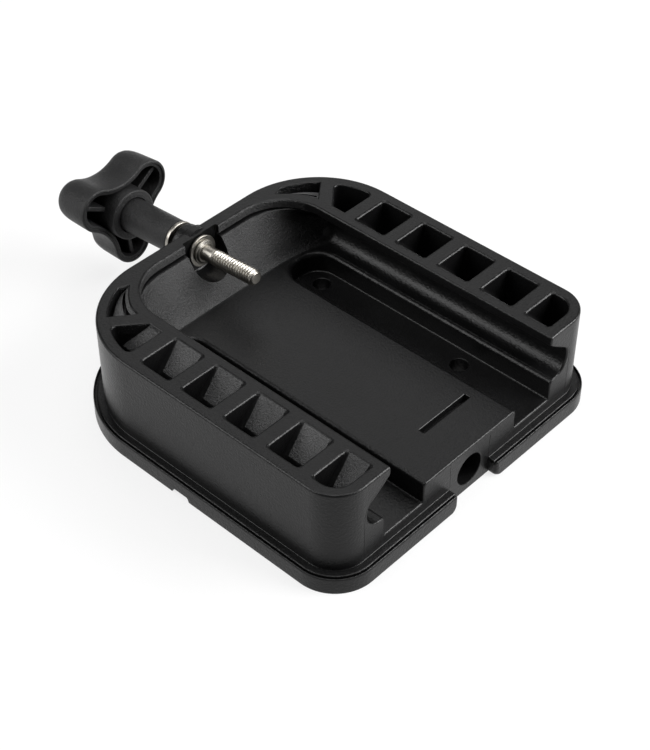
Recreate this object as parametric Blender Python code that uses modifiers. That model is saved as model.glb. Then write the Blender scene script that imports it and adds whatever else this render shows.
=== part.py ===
"""Slide-in mounting base for a rod holder: a moulded tray with a captive clamp screw at its back.

Frame: origin at the middle of the underside, +X to the right, -Y to the open front, +Z up.
Dimensions below are in millimetres; MM turns them into metres where the geometry is made.
"""
import math

import bmesh
import bpy
from mathutils import Matrix, Vector

MM = 0.001
COLLECTION = "slide_in_mount_base"

# Housing, seen from above
HALF_WIDTH = 66.3
HALF_LENGTH = 67.25
HEIGHT = 41.4
REAR_CORNER_R = 36.5
FRONT_CORNER_R = 12.5
ARC_STEP_DEG = 7.5
EDGE_R = 0.7
# how far a cutting shape reaches past the surface it opens
REACH = 1.0

# Foot flange round the bottom edge
FLANGE_OUT = 4.0
FLANGE_HEIGHT = 6.9
FLANGE_GAP_HALF = 10.5
FLANGE_END_R = 2.5
FLANGE_EDGE_R = 0.8
DRAIN_Y = 2.2
DRAIN_WIDTH = 9.2
DRAIN_HEIGHT = 2.0

# Tray: pad, side channels, rail grooves and the sloped back wall
OPEN_FRONT_Y = -HALF_LENGTH - 8.0
PAD_Z = 19.9
CHANNEL_Z = 11.4
CHANNEL_INNER = 24.3
CHANNEL_OUTER = 43.7
CHANNEL_REAR_Y = 44.5
CHANNEL_CORNER_R = 8.5
LIP_X = 41.5
LIP_Y = 61.5
CAVITY_CORNER_X = 21.5
CAVITY_CORNER_Y = 41.5
# height, half-width across the rails, distance of the back wall from the origin
CAVITY_LEVELS = [
    (PAD_Z, 45.0, 47.5),
    (20.15, 47.3, 48.3),
    (21.0, 49.3, 49.5),
    (22.6, 50.9, 50.7),
    (25.1, 51.9, 52.1),
    (27.4, 52.1, 53.6),
    (30.2, 51.5, 55.5),
    (31.7, 50.0, 56.5),
    (34.3, 46.1, 58.2),
    (35.6, 44.3, 59.0),
    (36.0, 43.8, 60.6),
    (36.3, 43.4, 62.1),
    (37.1, 42.2, 62.1),
    (37.7, LIP_X, LIP_Y),
    (HEIGHT + REACH, LIP_X, LIP_Y),
]

# Pockets in the top of both arms
POCKET_IN = 45.3
POCKET_OUT = 62.0
POCKET_LENGTH = 14.33
POCKET_PITCH = 19.76
POCKET_FIRST_REAR_Y = 27.07
POCKET_REGULAR = 4
POCKET_FRONT_Y = -63.0
POCKET_FLOOR_Z = 5.0
POCKET_SLOPE_X = 54.7
POCKET_ROUND = 1.6
POCKET_INNER_DRAFT = 0.9
POCKET_OUTER_DRAFT = 0.5
FRONT_POCKET_R = 7.0

# Wedge and sliver pockets in the rear corners, on either side of the diagonal rib
REAR_CENTRE_X = HALF_WIDTH - REAR_CORNER_R
REAR_CENTRE_Y = HALF_LENGTH - REAR_CORNER_R
POCKET_ARC_R = REAR_CORNER_R - 4.2
WEDGE_ROUND = 2.0
WEDGE_RIB_Y = 38.3
WEDGE_RIB_SLOPE = 0.827
WEDGE_OUTER_X = 59.8
WEDGE_REAR_CENTRE = (56.2, 44.9)
# height, how far the inner wall has moved outwards there
WEDGE_LEVELS = ((HEIGHT + REACH, -REACH), (HEIGHT - 9.0, 9.0), (POCKET_FLOOR_Z, 9.8))
SLIVER_ARC_DEG = (42.0, 70.0)
SLIVER_INNER = ((45.0, 45.4), (44.2, 49.6), (42.2, 53.4), (39.6, 56.8), (36.9, 59.6))
# height, share of the way from the inner edge to the outer wall
SLIVER_LEVELS = ((HEIGHT + REACH, -0.06), (HEIGHT, 0.0), (HEIGHT - 7.0, 0.78))

# Clamp screw, lying 4.5 degrees off level in its clearance hole
SCREW_TILT_DEG = 4.5
SCREW_REF_Y = 63.0
SCREW_REF_Z = 34.33
WALL_HOLE_Z = 34.0
WALL_HOLE_R = 3.75
BOSS_R = 7.1
BOSS_START_Y = 64.25
BOSS_END_Y = 71.9
BOSS_ROUND = 2.0
RECESS_HALF_WIDTH = 8.5
RECESS_FRONT_Y = 44.0
RECESS_BACK_Y = 62.95

# Positions along the screw's axis, from the reference point towards the knob
SCREW_TIP_S = -29.7
THREAD_END_S = -8.4
THREAD_PITCH = 1.27
THREAD_R = 3.14
THREAD_ROOT_R = 2.5
TIP_CHAMFER = 1.5
SHANK_R = 3.0
INNER_WASHER_S = -0.95
INNER_WASHER_THICK = 1.0
INNER_WASHER_R = 6.25
RETAINER_THICK = 0.5
RETAINER_R = 4.7
RETAINER_DISH = 1.0
RETAINER_TEETH = 6
RETAINER_SLIT = 0.5
OUTER_WASHER_S = 9.83
OUTER_WASHER_THICK = 1.6
OUTER_WASHER_R = 7.0
SLEEVE_R = 6.75
HUB_FACE_S = 36.4
HUB_R = 10.1
SLEEVE_SEAT = 1.5
# outer shape of the knob: distance along the screw, and how far the plan steps inwards there
KNOB_LEVELS = [(39.8, 0.0), (45.4, 0.2), (50.5, 0.4), (54.3, 0.9), (56.4, 1.9), (57.6, 3.0), (58.2, 4.4)]
KNOB_RIM_S = KNOB_LEVELS[0][0]
KNOB_BACK_S = KNOB_LEVELS[-1][0]
KNOB_HOLLOW_S = 54.0
KNOB_WALL = 2.6
KNOB_LIP_DEPTH = 0.7
KNOB_TURN_DEG = -91.7
LOBE_COUNT = 3
LOBE_CENTRE = 14.2
LOBE_R = 8.7
VALLEY_R = 17.4
DOME_R = 11.0
DOME_HEIGHT = 2.4
KNOB_RIB = 1.8
KNOB_RIB_BELOW_RIM = 2.2
HEAD_FLATS = 11.1
HEAD_HEIGHT = 4.0
HEAD_S = 46.5
GAP = 0.3

# Mounting holes, cross slot and front bore
MOUNT_HOLE_X = 36.5
MOUNT_HOLE_Y = (35.35, -32.55)
MOUNT_HOLE_R = 3.3
SLOT_X = (-6.0, 18.6)
SLOT_Y = (-51.65, -49.15)
SLOT_DEPTH = 3.0
BORE_Z = 9.2
BORE_R = 6.25
BORE_STEP_R = 4.6
BORE_DEPTH = 6.0
BORE_FULL_DEPTH = 14.0

# Weight-saving hollows in the underside
FLOOR_THICK = 4.0
CORE_X_CENTRE = (4.0, 20.0)
CORE_X_SIDE = (26.5, 40.5)
CORE_ROWS_CENTRE = ((-49.0, -36.0), (-33.0, -10.0), (10.0, 24.0), (27.0, 41.0))
CORE_ROWS_SIDE = ((-59.0, -42.0), (-23.0, -6.0), (-3.0, 24.0))
CORE_ROUND = 2.0


def clear_scene():
    """Remove every object so the script can be run again in the same file."""
    for obj in list(bpy.data.objects):
        bpy.data.objects.remove(obj, do_unlink=True)


def collection(name):
    """Return the named collection, linked to the scene."""
    found = bpy.data.collections.get(name)
    if found is None:
        found = bpy.data.collections.new(name)
        bpy.context.scene.collection.children.link(found)
    return found


def material(name, colour, roughness, metallic=0.0):
    """A plain Principled BSDF material."""
    mat = bpy.data.materials.new(name)
    mat.use_nodes = True
    shader = mat.node_tree.nodes["Principled BSDF"]
    shader.inputs["Base Color"].default_value = (*colour, 1.0)
    shader.inputs["Roughness"].default_value = roughness
    shader.inputs["Metallic"].default_value = metallic
    return mat


def mesh_object(name, bm):
    """Make an object from a bmesh whose coordinates are in millimetres."""
    bmesh.ops.scale(bm, vec=(MM, MM, MM), verts=bm.verts)
    bmesh.ops.recalc_face_normals(bm, faces=bm.faces)
    mesh = bpy.data.meshes.new(name)
    bm.to_mesh(mesh)
    bm.free()
    return link_part(bpy.data.objects.new(name, mesh))


def link_part(obj):
    """Put an object into the part's collection only."""
    for owner in list(obj.users_collection):
        owner.objects.unlink(obj)
    collection(COLLECTION).objects.link(obj)
    return obj


def as_cutter(obj):
    """Move an object to the cutters' collection and keep it out of the model."""
    for owner in list(obj.users_collection):
        owner.objects.unlink(obj)
    collection("cutters").objects.link(obj)
    obj.hide_render = True
    obj.display_type = "WIRE"
    return obj


def arc(cx, cy, radius, start_deg, end_deg, step_deg=ARC_STEP_DEG, radius_y=None):
    """Points along a circular or elliptical arc, both ends included."""
    ry = radius if radius_y is None else radius_y
    count = max(2, round(abs(end_deg - start_deg) / step_deg))
    points = []
    for i in range(count + 1):
        angle = math.radians(start_deg + (end_deg - start_deg) * i / count)
        points.append((cx + radius * math.cos(angle), cy + ry * math.sin(angle)))
    return points


def rounded_box_outline(x0, x1, y0, y1, radius, step_deg=30.0):
    """Rectangle with four equal round corners, counter-clockwise."""
    points = []
    for cx, cy, start in ((x1, y1, 0), (x0, y1, 90), (x0, y0, 180), (x1, y0, 270)):
        ox = -radius if cx == x1 else radius
        oy = -radius if cy == y1 else radius
        points += arc(cx + ox, cy + oy, radius, start, start + 90, step_deg)
    return points


def outline_solid(name, points, low, high, plane="XY", bevel=0.0, segments=2):
    """Extrude a flat outline; plane names its two axes and the third runs from low to high."""
    curve = bpy.data.curves.new(name, "CURVE")
    curve.dimensions = "2D"
    curve.fill_mode = "BOTH"
    curve.extrude = (high - low) * MM / 2
    spline = curve.splines.new("POLY")
    spline.points.add(len(points) - 1)
    for target, (u, v) in zip(spline.points, points):
        target.co = (u * MM, v * MM, 0.0, 1.0)
    spline.use_cyclic_u = True
    flat = bpy.data.objects.new(name + "_outline", curve)
    bpy.context.scene.collection.objects.link(flat)
    bpy.context.view_layer.update()
    mesh = bpy.data.meshes.new_from_object(flat.evaluated_get(bpy.context.evaluated_depsgraph_get()))
    bpy.data.objects.remove(flat, do_unlink=True)
    middle = (low + high) * MM / 2
    turn = {
        "XY": Matrix.Translation((0, 0, middle)),
        "XZ": Matrix.Translation((0, middle, 0)) @ Matrix.Rotation(math.radians(90), 4, "X"),
    }[plane]
    mesh.transform(turn)
    bm = bmesh.new()
    bm.from_mesh(mesh)
    bmesh.ops.remove_doubles(bm, verts=bm.verts, dist=0.00001)
    bmesh.ops.recalc_face_normals(bm, faces=bm.faces)
    bm.to_mesh(mesh)
    bm.free()
    mesh.name = name
    obj = link_part(bpy.data.objects.new(name, mesh))
    if bevel:
        add_bevel(obj, bevel, segments)
    return obj


def add_bevel(obj, width, segments=2, angle_deg=40.0):
    """Round the edges sharper than angle_deg."""
    mod = obj.modifiers.new("Rounded edges", "BEVEL")
    mod.width = width * MM
    mod.segments = segments
    mod.limit_method = "ANGLE"
    mod.angle_limit = math.radians(angle_deg)
    return mod


def boolean(target, tool, operation="DIFFERENCE"):
    """Cut or join tool with target; tool becomes a cutter."""
    mod = target.modifiers.new(operation.title(), "BOOLEAN")
    mod.operation = operation
    mod.solver = "EXACT"
    mod.object = as_cutter(tool)
    return mod


def bake(obj):
    """Replace an object's mesh by its evaluated mesh, so later modifiers start from it."""
    bpy.context.view_layer.update()
    graph = bpy.context.evaluated_depsgraph_get()
    mesh = bpy.data.meshes.new_from_object(obj.evaluated_get(graph))
    obj.modifiers.clear()
    obj.data = mesh
    return obj


def box(name, x0, x1, y0, y1, z0, z1):
    """An axis-aligned box."""
    bm = bmesh.new()
    bmesh.ops.create_cube(bm, size=1.0)
    bmesh.ops.scale(bm, vec=(x1 - x0, y1 - y0, z1 - z0), verts=bm.verts)
    bmesh.ops.translate(bm, vec=((x0 + x1) / 2, (y0 + y1) / 2, (z0 + z1) / 2), verts=bm.verts)
    return mesh_object(name, bm)


def turned(name, profile, steps=32):
    """Turn a closed (radius, height) profile about Z with a Screw modifier."""
    mesh = bpy.data.meshes.new(name)
    verts = [(radius * MM, 0.0, height * MM) for radius, height in profile]
    edges = [(i, i + 1) for i in range(len(verts) - 1)]
    if profile[0][0] > 0:
        edges.append((len(verts) - 1, 0))
    mesh.from_pydata(verts, edges, [])
    obj = link_part(bpy.data.objects.new(name, mesh))
    mod = obj.modifiers.new("Turn", "SCREW")
    mod.axis = "Z"
    mod.steps = steps
    mod.render_steps = steps
    mod.use_merge_vertices = True
    mod.merge_threshold = 0.00002
    bake(obj)
    bm = bmesh.new()
    bm.from_mesh(obj.data)
    bmesh.ops.recalc_face_normals(bm, faces=bm.faces)
    bm.to_mesh(obj.data)
    bm.free()
    return obj


def loft(name, sections):
    """Skin a stack of closed rings that have the same number of points, and cap both ends."""
    bm = bmesh.new()
    rings = [[bm.verts.new(point) for point in section] for section in sections]
    count = len(rings[0])
    for lower, upper in zip(rings, rings[1:]):
        for i in range(count):
            j = (i + 1) % count
            bm.faces.new((lower[i], lower[j], upper[j], upper[i]))
    bm.faces.new(rings[0][::-1])
    bm.faces.new(rings[-1])
    return mesh_object(name, bm)


def mirrored_x(name, obj):
    """Join an object that stays on one side of x=0 with its mirror image."""
    bake(obj)
    bm = bmesh.new()
    bm.from_mesh(obj.data)
    half = bm.verts[:] + bm.edges[:] + bm.faces[:]
    copy = bmesh.ops.duplicate(bm, geom=half)
    verts = [item for item in copy["geom"] if isinstance(item, bmesh.types.BMVert)]
    faces = [item for item in copy["geom"] if isinstance(item, bmesh.types.BMFace)]
    bmesh.ops.scale(bm, vec=(-1, 1, 1), verts=verts)
    bmesh.ops.reverse_faces(bm, faces=faces)
    bm.to_mesh(obj.data)
    bm.free()
    obj.name = name
    return obj


def screw_frame():
    """Matrix whose Z axis runs along the screw, from the reference point towards the knob."""
    tilt = math.radians(SCREW_TILT_DEG)
    axis = Vector((0.0, math.cos(tilt), -math.sin(tilt)))
    side = Vector((-1.0, 0.0, 0.0))
    up = axis.cross(side)
    turn = Matrix((side, up, axis)).transposed().to_4x4()
    return Matrix.Translation((0.0, SCREW_REF_Y * MM, SCREW_REF_Z * MM)) @ turn


def place_on_screw(obj):
    """Set a turned piece, made along Z, on the screw's axis."""
    obj.matrix_world = screw_frame()
    return obj


def smooth(obj, mat, angle_deg=35.0):
    """Assign the material and shade curved faces smooth."""
    obj.data.materials.clear()
    obj.data.materials.append(mat)
    obj.data.shade_smooth()
    obj.data.set_sharp_from_angle(angle=math.radians(angle_deg))
    return obj


def body_outline(offset):
    """Plan of the housing, grown outwards by offset."""
    half_x = HALF_WIDTH + offset
    half_y = HALF_LENGTH + offset
    rear = REAR_CORNER_R + offset
    front = FRONT_CORNER_R + offset
    points = arc(half_x - rear, half_y - rear, rear, 0, 90)
    points += arc(-half_x + rear, half_y - rear, rear, 90, 180)
    points += arc(-half_x + front, -half_y + front, front, 180, 270, 15.0)
    points += arc(half_x - front, -half_y + front, front, 270, 360, 15.0)
    return points


def make_flange():
    """Foot flange with rounded edges, a gap at the front and a drain notch on each side."""
    flange = outline_solid("flange", body_outline(FLANGE_OUT), 0.0, FLANGE_HEIGHT, bevel=FLANGE_EDGE_R)
    edge = -HALF_LENGTH - FLANGE_OUT
    end = FLANGE_GAP_HALF + FLANGE_END_R
    gap = [(-end, edge - REACH), (end, edge - REACH), (end, edge)]
    gap += arc(end, edge + FLANGE_END_R, FLANGE_END_R, 270, 180, 22.5)[1:]
    gap += [(FLANGE_GAP_HALF, -HALF_LENGTH + 0.5), (-FLANGE_GAP_HALF, -HALF_LENGTH + 0.5)]
    gap += arc(-end, edge + FLANGE_END_R, FLANGE_END_R, 0, -90, 22.5)
    boolean(flange, outline_solid("flange_gap", gap, -REACH, FLANGE_HEIGHT + REACH))
    outer_x = HALF_WIDTH + FLANGE_OUT + REACH
    drain_y0 = DRAIN_Y - DRAIN_WIDTH / 2
    drain_y1 = DRAIN_Y + DRAIN_WIDTH / 2
    drain = box("drain", HALF_WIDTH - REACH, outer_x, drain_y0, drain_y1, -REACH, DRAIN_HEIGHT)
    add_bevel(drain, FLANGE_EDGE_R)
    boolean(flange, mirrored_x("drains", drain))
    return bake(flange)


def make_cavity():
    """Space between the arms, wider in the rail grooves and sloped at the back."""
    sections = []
    for z, half_x, rear_y in CAVITY_LEVELS:
        rx = half_x - CAVITY_CORNER_X
        ry = rear_y - CAVITY_CORNER_Y
        right = arc(CAVITY_CORNER_X, CAVITY_CORNER_Y, rx, 0, 90, 10.0, radius_y=ry)
        left = arc(-CAVITY_CORNER_X, CAVITY_CORNER_Y, rx, 90, 180, 10.0, radius_y=ry)
        ring = [(half_x, OPEN_FRONT_Y)] + right + left + [(-half_x, OPEN_FRONT_Y)]
        sections.append([(x, y, z) for x, y in ring])
    return loft("cavity", sections)


def make_channels():
    """Floor channels beside the pad, with round rear ends."""
    r = CHANNEL_CORNER_R
    y_end = CHANNEL_REAR_Y
    points = [(CHANNEL_INNER, OPEN_FRONT_Y), (CHANNEL_OUTER, OPEN_FRONT_Y)]
    points += arc(CHANNEL_OUTER - r, y_end - r, r, 0, 90, 15.0)
    points += arc(CHANNEL_INNER + r, y_end - r, r, 90, 180, 15.0)
    channel = outline_solid("channel", points, CHANNEL_Z, PAD_Z + 0.6)
    return mirrored_x("channels", channel)


def regular_pocket(name, y0, y1, outer_round=None):
    """Pocket with a 45-degree inner wall that follows the underside of the rail lip."""
    spare = 4.0
    top = HEIGHT + spare
    slope_z = HEIGHT - (POCKET_SLOPE_X - POCKET_IN)
    profile = [
        (POCKET_IN - spare, top),
        (POCKET_SLOPE_X, slope_z),
        (POCKET_SLOPE_X + POCKET_INNER_DRAFT, POCKET_FLOOR_Z),
        (POCKET_OUT - POCKET_OUTER_DRAFT, POCKET_FLOOR_Z),
        (POCKET_OUT, HEIGHT),
        (POCKET_OUT, top),
    ]
    pocket = outline_solid(name, profile, y0, y1, plane="XZ", bevel=POCKET_ROUND)
    plan = [(POCKET_IN, y1 + spare), (POCKET_IN, y0 - REACH)]
    if outer_round:
        plan += arc(POCKET_OUT - outer_round, y0 + outer_round, outer_round, 270, 360, 15.0)
        plan += [(POCKET_OUT, y1 + spare)]
    else:
        plan += [(POCKET_OUT + spare, y0 - REACH), (POCKET_OUT + spare, y1 + spare)]
    collar = outline_solid(name + "_collar", plan, 0.0, top + REACH)
    boolean(pocket, collar, "INTERSECT")
    return bake(pocket)


def wedge_pocket():
    """Pocket behind the regular ones, cut off by the diagonal corner rib."""
    rib_in = (POCKET_IN, WEDGE_RIB_Y)
    front_y = POCKET_FIRST_REAR_Y + POCKET_PITCH - POCKET_LENGTH
    rib_deg = 90.0 + math.degrees(math.atan(WEDGE_RIB_SLOPE))
    ring = [(POCKET_IN, front_y), rib_in]
    ring += arc(*WEDGE_REAR_CENTRE, WEDGE_ROUND, rib_deg, 30.0, 33.0)
    ring += arc(REAR_CENTRE_X, REAR_CENTRE_Y, POCKET_ARC_R, 24.0, 8.0, 8.0)
    ring += arc(WEDGE_OUTER_X, front_y + WEDGE_ROUND, WEDGE_ROUND, 0.0, -90.0, 30.0)
    sections = []
    for z, shift in WEDGE_LEVELS:
        inner = POCKET_IN + shift
        section = []
        for x, y in ring:
            moved = max(x, inner) if x > POCKET_IN else inner
            along = shift * WEDGE_RIB_SLOPE if (x, y) == rib_in else 0.0
            section.append((moved, y + max(0.0, along), z))
        sections.append(section)
    return loft("wedge_pocket", sections)


def sliver_pocket():
    """Tapering pocket in the rear corner; its floor rises from the outer wall to the inner lip."""
    outer = arc(REAR_CENTRE_X, REAR_CENTRE_Y, POCKET_ARC_R, *SLIVER_ARC_DEG, 7.0)
    sections = []
    for z, share in SLIVER_LEVELS:
        ring = []
        for (xo, yo), (xi, yi) in zip(outer, SLIVER_INNER):
            ring.append((xi + (xo - xi) * share, yi + (yo - yi) * share, z))
        sections.append([(x, y, z) for x, y in outer] + ring[::-1])
    return loft("sliver_pocket", sections)


def make_pockets():
    """All pockets of the right arm, mirrored to the left."""
    rears = [POCKET_FIRST_REAR_Y - i * POCKET_PITCH for i in range(POCKET_REGULAR)]
    pockets = [regular_pocket("pocket", y - POCKET_LENGTH, y) for y in rears]
    last = POCKET_FIRST_REAR_Y - POCKET_REGULAR * POCKET_PITCH
    pockets.append(regular_pocket("front_pocket", POCKET_FRONT_Y, last, outer_round=FRONT_POCKET_R))
    pockets.append(wedge_pocket())
    pockets.append(sliver_pocket())
    return [mirrored_x(pocket.name + "_pair", pocket) for pocket in pockets]


def make_boss():
    """Round boss behind the back wall that carries the clamp screw."""
    length = BOSS_END_Y - BOSS_START_Y
    profile = [(0.0, length)]
    profile += arc(BOSS_R - BOSS_ROUND, length - BOSS_ROUND, BOSS_ROUND, 90, 0, 30.0)
    profile += [(BOSS_R, 0.0), (0.0, 0.0)]
    boss = turned("boss", profile, 40)
    turn = Matrix.Rotation(math.radians(-90), 4, "X")
    boss.data.transform(Matrix.Translation((0, BOSS_START_Y * MM, WALL_HOLE_Z * MM)) @ turn)
    return boss


def make_recess():
    """U-shaped recess in the back wall round the screw."""
    r = RECESS_HALF_WIDTH
    points = arc(0.0, WALL_HOLE_Z, r, 180, 360, 11.25) + [(r, HEIGHT + REACH), (-r, HEIGHT + REACH)]
    return outline_solid("recess", points, RECESS_FRONT_Y, RECESS_BACK_Y, plane="XZ")


def make_wall_hole():
    """Clearance hole for the screw, wide enough to let it sway."""
    points = arc(0.0, WALL_HOLE_Z, WALL_HOLE_R, 0, 345, 15.0)
    return outline_solid("wall_hole", points, RECESS_BACK_Y - REACH, BOSS_END_Y + REACH, plane="XZ")


def cylinder(name, x, y, radius, z0, z1, steps=32):
    """Upright cylinder."""
    return outline_solid(name, arc(x, y, radius, 0, 360 - 360 / steps, 360 / steps), z0, z1)


def make_underside_cores():
    """Rounded hollows in the underside that leave ribs, screw bosses and a centre column."""
    groups = (
        (CORE_X_CENTRE, CORE_ROWS_CENTRE, PAD_Z - FLOOR_THICK),
        (CORE_X_SIDE, CORE_ROWS_SIDE, CHANNEL_Z - FLOOR_THICK),
    )
    cores = []
    for (x0, x1), rows, top in groups:
        for y0, y1 in rows:
            plan = rounded_box_outline(x0, x1, y0, y1, CORE_ROUND)
            cores.append(mirrored_x("core", outline_solid("core", plan, -REACH, top)))
    return cores


def make_front_bore():
    """Stepped bore in the middle of the front face."""
    front = -HALF_LENGTH
    wide = arc(0.0, BORE_Z, BORE_R, 0, 348.75, 11.25)
    narrow = arc(0.0, BORE_Z, BORE_STEP_R, 0, 345, 15.0)
    bore = outline_solid("bore", wide, front - REACH, front + BORE_DEPTH, plane="XZ")
    step_start = front + BORE_DEPTH - REACH
    step = outline_solid("bore_step", narrow, step_start, front + BORE_FULL_DEPTH, plane="XZ")
    boolean(bore, step, "UNION")
    return bake(bore)


def make_housing(mat):
    """The one-piece moulded housing."""
    housing = outline_solid("base_housing", body_outline(0.0), 0.0, HEIGHT, bevel=EDGE_R)
    bake(housing)
    boolean(housing, make_flange(), "UNION")
    boolean(housing, make_boss(), "UNION")
    bake(housing)
    cutters = [make_cavity(), make_channels(), make_recess(), make_wall_hole(), make_front_bore()]
    cutters += make_pockets()
    for x in (-MOUNT_HOLE_X, MOUNT_HOLE_X):
        for y in MOUNT_HOLE_Y:
            cutters.append(cylinder("mount_hole", x, y, MOUNT_HOLE_R, -REACH, CHANNEL_Z + REACH, 24))
    cutters.append(box("cross_slot", *SLOT_X, *SLOT_Y, PAD_Z - SLOT_DEPTH, PAD_Z + REACH))
    cutters += make_underside_cores()
    for cutter in cutters:
        boolean(housing, cutter)
        bake(housing)
    tidy_mesh(housing)
    return smooth(housing, mat)


def tidy_mesh(obj):
    """Merge points closer than a hundredth of a millimetre."""
    bm = bmesh.new()
    bm.from_mesh(obj.data)
    bmesh.ops.remove_doubles(bm, verts=bm.verts, dist=0.01 * MM)
    bmesh.ops.dissolve_degenerate(bm, edges=bm.edges, dist=0.002 * MM)
    bm.to_mesh(obj.data)
    bm.free()


def hexagon(flats):
    """Corners of a hexagon, given the distance across its flats."""
    radius = flats / 2 / math.cos(math.radians(30))
    return arc(0.0, 0.0, radius, 0, 300, 60.0)


def make_screw(mat):
    """Quarter-inch clamp screw with a thread at the tip and a hex head inside the knob."""
    pitches = int((THREAD_END_S - SCREW_TIP_S - TIP_CHAMFER) / THREAD_PITCH)
    profile = [(0.0, HEAD_S), (SHANK_R, HEAD_S), (SHANK_R, THREAD_END_S)]
    # each turn of the thread is one ring: down to the root, up to the crest, along the flat crest
    ridge = ((THREAD_ROOT_R, 0.35), (THREAD_R, 0.85), (THREAD_R, 1.0))
    for i in range(pitches):
        for radius, share in ridge:
            profile.append((radius, THREAD_END_S - (i + share) * THREAD_PITCH))
    profile.append((THREAD_ROOT_R - 0.1, SCREW_TIP_S))
    profile.append((0.0, SCREW_TIP_S))
    screw = turned("clamp_screw", profile, 20)
    head = outline_solid("screw_head", hexagon(HEAD_FLATS), HEAD_S - 0.05, HEAD_S + HEAD_HEIGHT, bevel=0.4)
    boolean(screw, head, "UNION")
    bake(screw)
    place_on_screw(screw)
    return smooth(screw, mat)


def ring(name, inner, outer, low, high, steps, mat, edge=0.2):
    """Flat ring with chamfered edges, on the screw's axis."""
    profile = [
        (inner, high), (outer - edge, high), (outer, high - edge),
        (outer, low + edge), (outer - edge, low), (inner, low),
    ]
    return smooth(place_on_screw(turned(name, profile, steps)), mat)


def make_inner_washer(mat):
    """Plain washer in the recess."""
    low = INNER_WASHER_S - INNER_WASHER_THICK
    return ring("inner_washer", SHANK_R + GAP, INNER_WASHER_R, low, INNER_WASHER_S, 36, mat)


def make_outer_washer(mat):
    """Thin washer between the boss and the spacer sleeve."""
    high = OUTER_WASHER_S + OUTER_WASHER_THICK
    return ring("outer_washer", SHANK_R + GAP, OUTER_WASHER_R, OUTER_WASHER_S, high, 40, mat)


def make_retainer(mat):
    """Dished push-on retainer that keeps the screw in the wall."""
    front = INNER_WASHER_S - INNER_WASHER_THICK - GAP
    nose = front - RETAINER_THICK - RETAINER_DISH
    hole = SHANK_R + GAP
    rim = RETAINER_R
    profile = [
        (hole, front - RETAINER_DISH), (rim - 0.8, front), (rim, front), (rim, front - RETAINER_THICK),
        (rim - 0.6, front - RETAINER_THICK - 0.1), (hole + 0.7, nose), (hole, nose),
    ]
    cap = turned("push_on_retainer", profile, 30)
    half = RETAINER_SLIT / 2
    for i in range(RETAINER_TEETH):
        slit = box("slit", hole - REACH, rim - 1.0, -half, half, nose - REACH, front + REACH)
        slit.data.transform(Matrix.Rotation(math.radians(30 + 360 * i / RETAINER_TEETH), 4, "Z"))
        boolean(cap, slit)
        bake(cap)
    return smooth(place_on_screw(cap), mat)


def make_sleeve(mat):
    """Spacer sleeve between the outer washer and the knob's hub."""
    low = OUTER_WASHER_S + OUTER_WASHER_THICK + GAP
    high = HUB_FACE_S + SLEEVE_SEAT
    r = SLEEVE_R
    profile = [
        (SHANK_R + GAP, high), (r, high), (r, HUB_FACE_S - 1.0),
        (r - 0.1, low + 0.4), (r - 0.5, low), (SHANK_R + GAP, low),
    ]
    return smooth(place_on_screw(turned("spacer_sleeve", profile, 40)), mat)


def polar(radius, angle_deg):
    """Point at an angle round the origin."""
    angle = math.radians(angle_deg)
    return Vector((radius * math.cos(angle), radius * math.sin(angle)))


def lobed_outline(inset=0.0):
    """Three-lobed plan of the knob from tangent arcs; inset moves it inwards."""
    step = 360 / LOBE_COUNT
    span = LOBE_R + VALLEY_R
    # distance of the valley arc's centre, from the triangle of lobe centre, valley centre and axis
    half = LOBE_CENTRE * math.cos(math.radians(step / 2))
    far = half + math.sqrt(half ** 2 - LOBE_CENTRE ** 2 + span ** 2)
    points = []
    for k in range(LOBE_COUNT):
        lobe_deg = KNOB_TURN_DEG + step * k
        valley_deg = lobe_deg + step / 2
        lobe = polar(LOBE_CENTRE, lobe_deg)
        valley = polar(far, valley_deg)
        between = valley - lobe
        towards = math.degrees(math.atan2(between.y, between.x))
        sweep = (towards - lobe_deg) % 360
        points += arc(lobe.x, lobe.y, LOBE_R - inset, lobe_deg - sweep, lobe_deg + sweep, 16.0)
        start = towards + 180
        end = start - 2 * ((start - valley_deg - 180) % 360)
        points += arc(valley.x, valley.y, VALLEY_R + inset, start, end, 12.0)[1:-1]
    return points


def make_knob_shell():
    """Outer shape of the knob with its domed back, hollowed from the side that faces the housing."""
    sections = []
    for s, inset in KNOB_LEVELS:
        sections.append([(x, y, s) for x, y in lobed_outline(inset)])
    knob = loft("clamp_knob", sections)
    dome = [(0.0, KNOB_BACK_S + DOME_HEIGHT)]
    dome += arc(0.0, KNOB_BACK_S, DOME_R, 75, 0, 15.0, radius_y=DOME_HEIGHT)
    dome += [(DOME_R, KNOB_BACK_S - REACH), (0.0, KNOB_BACK_S - REACH)]
    boolean(knob, turned("knob_dome", dome, 40), "UNION")
    hollow = outline_solid("knob_hollow", lobed_outline(KNOB_WALL), KNOB_RIM_S - REACH, KNOB_HOLLOW_S)
    boolean(knob, hollow)
    lip_end = KNOB_RIM_S + KNOB_LIP_DEPTH
    lip = outline_solid("knob_lip", lobed_outline(KNOB_WALL / 2), KNOB_RIM_S - REACH, lip_end)
    boolean(knob, lip)
    return bake(knob)


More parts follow.
